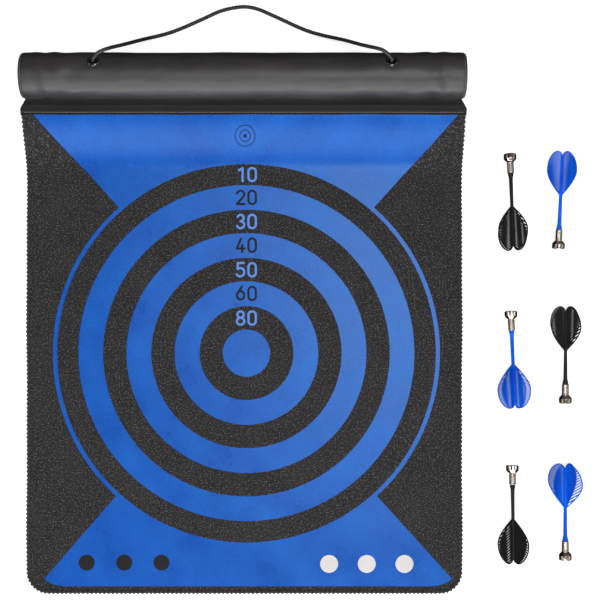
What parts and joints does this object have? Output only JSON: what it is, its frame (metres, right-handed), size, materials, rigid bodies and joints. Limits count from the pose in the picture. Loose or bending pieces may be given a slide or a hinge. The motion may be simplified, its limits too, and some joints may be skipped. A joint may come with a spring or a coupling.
{
  "type": "magnetic dartboard",
  "caption": "Roll-up magnetic dartboard: a printed steel-backed mat on a padded hanging roll with a cord, and magnet-headed darts beside it.",
  "frame": {"origin": "under the bull's-eye centre, on the mat's underside, which is the plane the set lies on", "axes": "+Z out of the target face; +Y towards the roll it hangs from; +X to the right of the target, towards the darts"},
  "size_m": [0.4838, 0.5138, 0.0474],
  "materials": {
    "printed_fabric": "flocked polyester with a print, matt",
    "iron_rubber": "iron-filled rubber sheet, matt",
    "backing_fabric": "black felt backing",
    "edge_thread": "black polyester overlock thread",
    "black_leather": "black PU leather, satin",
    "core_board": "wound paperboard",
    "eyelet_metal": "black-nickel plated brass",
    "braided_cord": "black braided polyester",
    "nickel": "nickel-plated steel, bright",
    "magnet_nickel": "nickel-plated neodymium magnet",
    "black_plastic": "moulded black polypropylene",
    "blue_plastic": "moulded blue polypropylene"
  },
  "bodies": {
    "root": {"mat_backing": "backing_fabric", "mat_iron_sheet": "iron_rubber", "mat_face_fabric": "printed_fabric", "edge_overlock": "edge_thread", "header_band": "black_leather", "header_stitching": "edge_thread"},
    "roll": {"roll_core": "core_board", "roll_sleeve": "black_leather", "roll_end_left": "black_leather", "roll_end_right": "black_leather", "end_stitching_left": "edge_thread", "end_stitching_right": "edge_thread", "eyelet_left": "eyelet_metal", "eyelet_right": "eyelet_metal", "eyelet_washer_left": "eyelet_metal", "eyelet_washer_right": "eyelet_metal", "cord_knot_left": "braided_cord", "cord_knot_right": "braided_cord"},
    "cord": {"hanging_cord": "braided_cord"},
    "dart_black_1": {"dart_black_1_flight": "black_plastic", "dart_black_1_barrel": "nickel", "dart_black_1_cup": "nickel", "dart_black_1_magnet": "magnet_nickel"},
    "dart_blue_1": {"dart_blue_1_flight": "blue_plastic", "dart_blue_1_barrel": "nickel", "dart_blue_1_cup": "nickel", "dart_blue_1_magnet": "magnet_nickel"},
    "dart_blue_2": {"dart_blue_2_flight": "blue_plastic", "dart_blue_2_barrel": "nickel", "dart_blue_2_cup": "nickel", "dart_blue_2_magnet": "magnet_nickel"},
    "dart_black_2": {"dart_black_2_flight": "black_plastic", "dart_black_2_barrel": "nickel", "dart_black_2_cup": "nickel", "dart_black_2_magnet": "magnet_nickel"},
    "dart_black_3": {"dart_black_3_flight": "black_plastic", "dart_black_3_barrel": "nickel", "dart_black_3_cup": "nickel", "dart_black_3_magnet": "magnet_nickel"},
    "dart_blue_3": {"dart_blue_3_flight": "blue_plastic", "dart_blue_3_barrel": "nickel", "dart_blue_3_cup": "nickel", "dart_blue_3_magnet": "magnet_nickel"}
  },
  "joints": [
    {"name": "header_fold", "type": "hinge", "parent": "root", "child": "roll", "pos_m": [0, 0.2152, 0.0182], "axis": [1, 0, 0], "range_deg": [0, 100]},
    {"name": "cord_swing", "type": "hinge", "parent": "roll", "child": "cord", "pos_m": [0, 0.24969, 0.03984], "axis": [1, 0, 0], "range_deg": [0, 90]},
    {"name": "dart_black_1_lift", "type": "slide", "parent": "root", "child": "dart_black_1", "axis": [0, 0, 1], "range_m": [0, 0.12]},
    {"name": "dart_blue_1_lift", "type": "slide", "parent": "root", "child": "dart_blue_1", "axis": [0, 0, 1], "range_m": [0, 0.12]},
    {"name": "dart_blue_2_lift", "type": "slide", "parent": "root", "child": "dart_blue_2", "axis": [0, 0, 1], "range_m": [0, 0.12]},
    {"name": "dart_black_2_lift", "type": "slide", "parent": "root", "child": "dart_black_2", "axis": [0, 0, 1], "range_m": [0, 0.12]},
    {"name": "dart_black_3_lift", "type": "slide", "parent": "root", "child": "dart_black_3", "axis": [0, 0, 1], "range_m": [0, 0.12]},
    {"name": "dart_blue_3_lift", "type": "slide", "parent": "root", "child": "dart_blue_3", "axis": [0, 0, 1], "range_m": [0, 0.12]}
  ]
}
